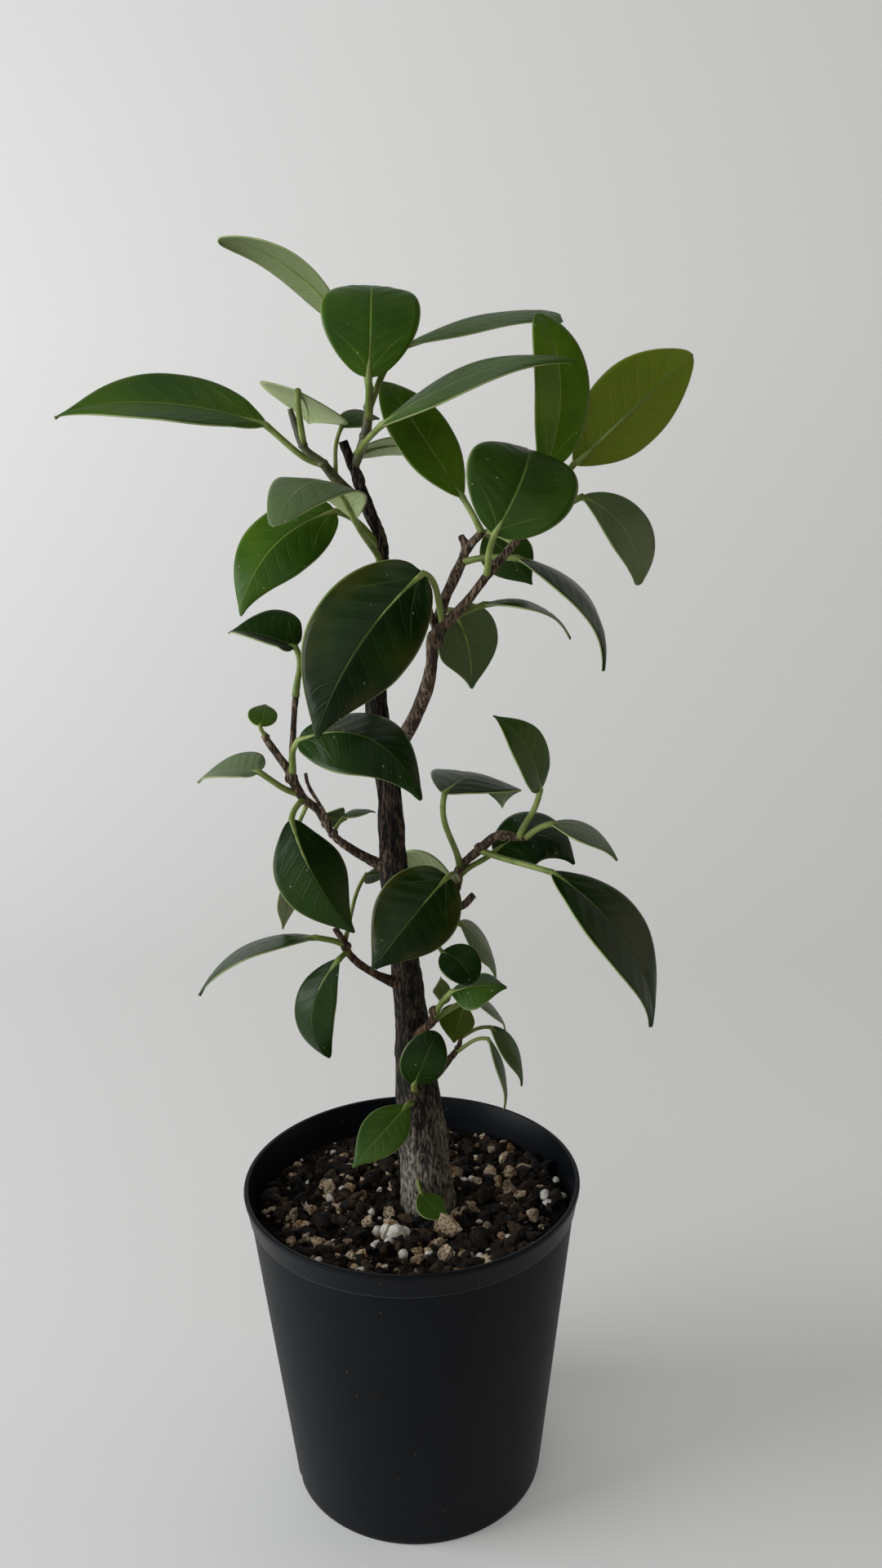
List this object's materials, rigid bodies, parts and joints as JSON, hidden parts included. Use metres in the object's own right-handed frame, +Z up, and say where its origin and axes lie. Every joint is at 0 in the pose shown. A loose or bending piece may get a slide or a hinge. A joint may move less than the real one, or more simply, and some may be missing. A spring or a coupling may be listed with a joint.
{
  "type": "potted ficus seedling",
  "caption": "Young woody ficus seedling with a tapering trunk, short side stems and glossy pointed oval leaves, growing in peat in a plain black nursery pot.",
  "frame": {"origin": "centre of the pot's flat underside, on the surface that it stands on", "axes": "+Z up the pot's axis towards the plant's top, -Y towards the side that the plant shows best, +X to the right as seen from that side"},
  "size_m": [0.1488, 0.09, 0.3274],
  "materials": {
    "pot_plastic": "satin",
    "peat_soil": "matte",
    "bark": "matte",
    "grown_leaf": "satin",
    "young_leaf": "satin"
  },
  "bodies": {
    "root": {"left_stem": "bark", "left_stem_leaf_1": "grown_leaf", "left_stem_leaf_2": "grown_leaf", "left_stem_leaf_3": "young_leaf", "left_stem_leaf_4": "grown_leaf", "left_stem_leaf_5": "grown_leaf", "left_stem_leaf_6": "grown_leaf", "left_stem_leaf_7": "grown_leaf", "left_stem_leaf_8": "grown_leaf", "low_shoot": "bark", "low_shoot_leaf_1": "young_leaf", "low_shoot_leaf_2": "young_leaf", "low_shoot_leaf_3": "grown_leaf", "low_shoot_leaf_4": "young_leaf", "low_twig": "bark", "low_twig_leaf_1": "grown_leaf", "low_twig_leaf_2": "grown_leaf", "lower_left_stem": "bark", "lower_left_stem_leaf_1": "grown_leaf", "lower_left_stem_leaf_2": "grown_leaf", "lower_left_stem_leaf_3": "grown_leaf", "pot": "pot_plastic", "right_stem": "bark", "right_stem_leaf_1": "grown_leaf", "right_stem_leaf_2": "grown_leaf", "right_stem_leaf_3": "grown_leaf", "right_stem_leaf_4": "grown_leaf", "right_stem_leaf_5": "grown_leaf", "right_stem_leaf_6": "grown_leaf", "right_stem_leaf_7": "grown_leaf", "right_stem_leaf_8": "grown_leaf", "right_stem_leaf_9": "young_leaf", "soil": "peat_soil", "top_left_twig": "bark", "top_left_twig_leaf_1": "grown_leaf", "top_left_twig_leaf_2": "young_leaf", "top_left_twig_leaf_3": "young_leaf", "top_shoot": "bark", "top_shoot_leaf_1": "young_leaf", "top_shoot_leaf_2": "young_leaf", "top_shoot_leaf_3": "grown_leaf", "top_shoot_leaf_4": "grown_leaf", "trunk": "bark", "trunk_leaf_1": "grown_leaf", "trunk_leaf_2": "grown_leaf", "trunk_leaf_3": "grown_leaf", "trunk_leaf_4": "grown_leaf", "trunk_leaf_5": "grown_leaf", "trunk_leaf_6": "grown_leaf", "upper_right_stem": "bark", "upper_right_stem_leaf_1": "young_leaf", "upper_right_stem_leaf_10": "grown_leaf", "upper_right_stem_leaf_2": "young_leaf", "upper_right_stem_leaf_3": "young_leaf", "upper_right_stem_leaf_4": "young_leaf", "upper_right_stem_leaf_5": "grown_leaf", "upper_right_stem_leaf_6": "grown_leaf", "upper_right_stem_leaf_7": "grown_leaf", "upper_right_stem_leaf_8": "grown_leaf", "upper_right_stem_leaf_9": "grown_leaf"}
  },
  "joints": []
}
